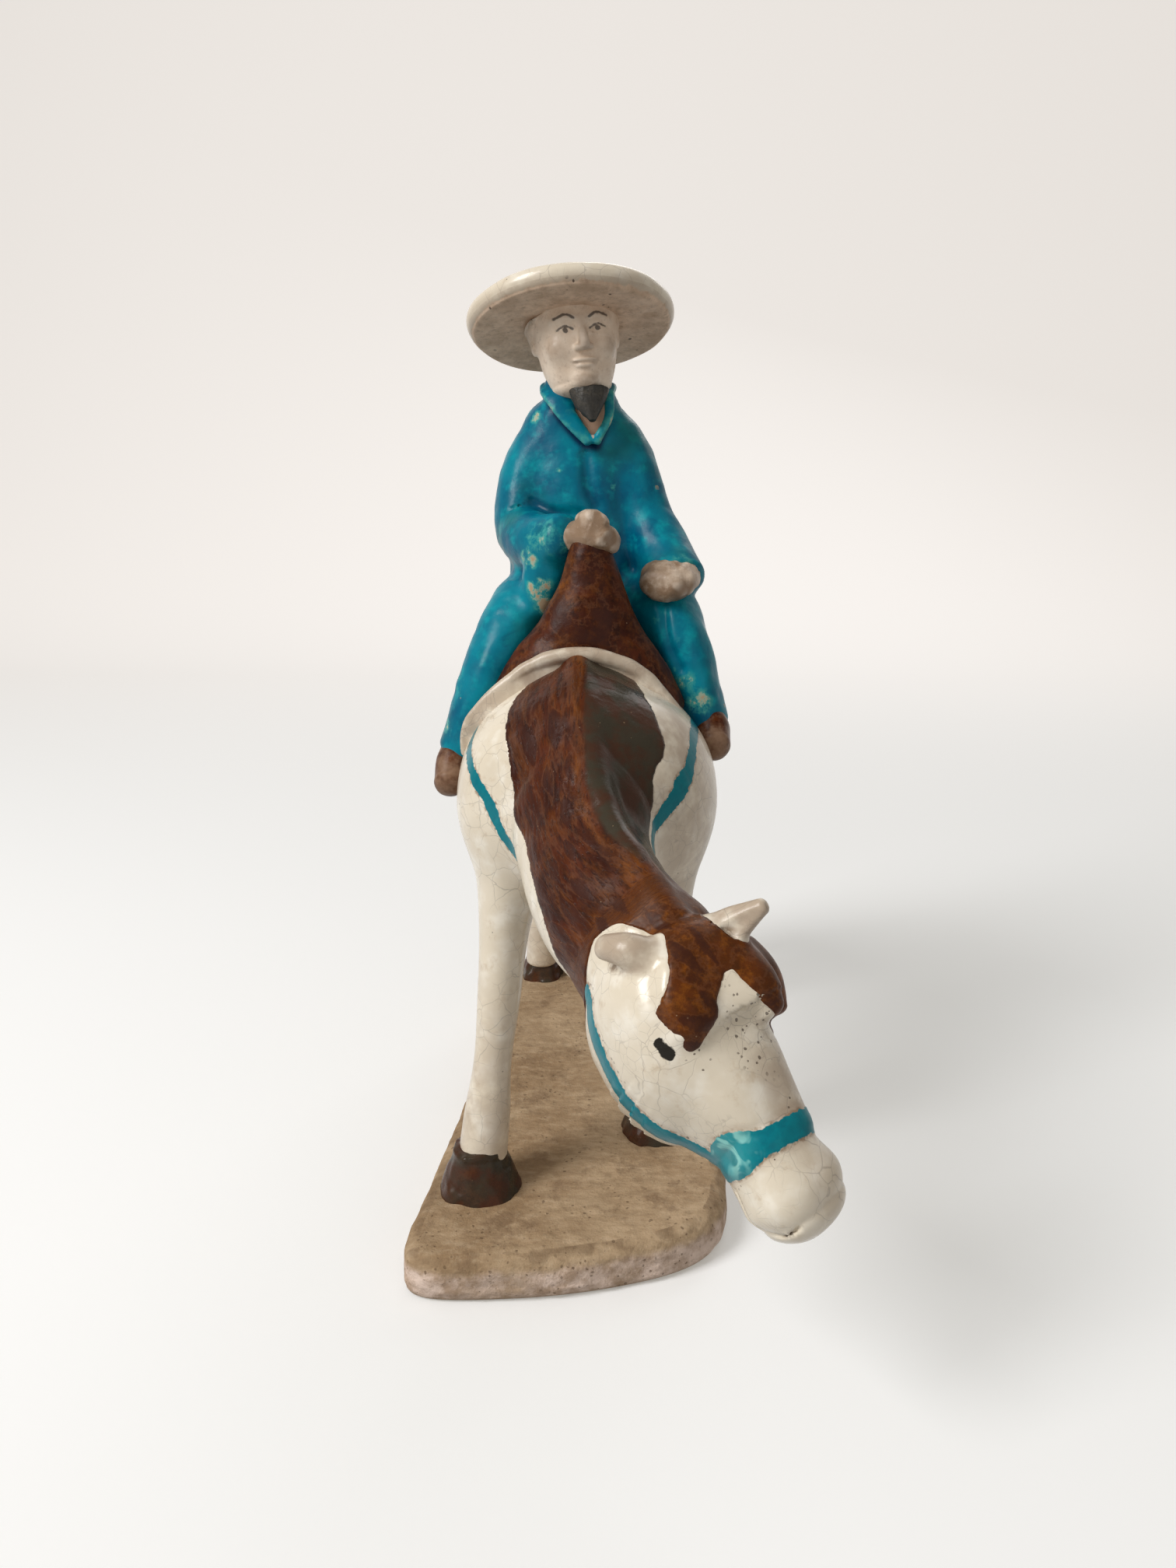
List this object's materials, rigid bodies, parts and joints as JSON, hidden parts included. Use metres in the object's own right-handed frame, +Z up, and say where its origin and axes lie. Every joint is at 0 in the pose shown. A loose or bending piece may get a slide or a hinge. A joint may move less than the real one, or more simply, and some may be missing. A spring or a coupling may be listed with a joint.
{
  "type": "glazed ceramic horse and rider figure",
  "caption": "Glazed ceramic figure of a bearded rider in a wide round hat and long robe on a grazing horse, fired in one piece with its flat slab base",
  "frame": {"origin": "the middle of the slab's flat underside", "axes": "+Z up, the horse faces -Y, +X is the horse's left side"},
  "size_m": [0.1263, 0.3132, 0.3214],
  "materials": {
    "white_glaze": "gloss"
  },
  "bodies": {
    "root": {"horse_and_rider": "white_glaze"}
  },
  "joints": []
}
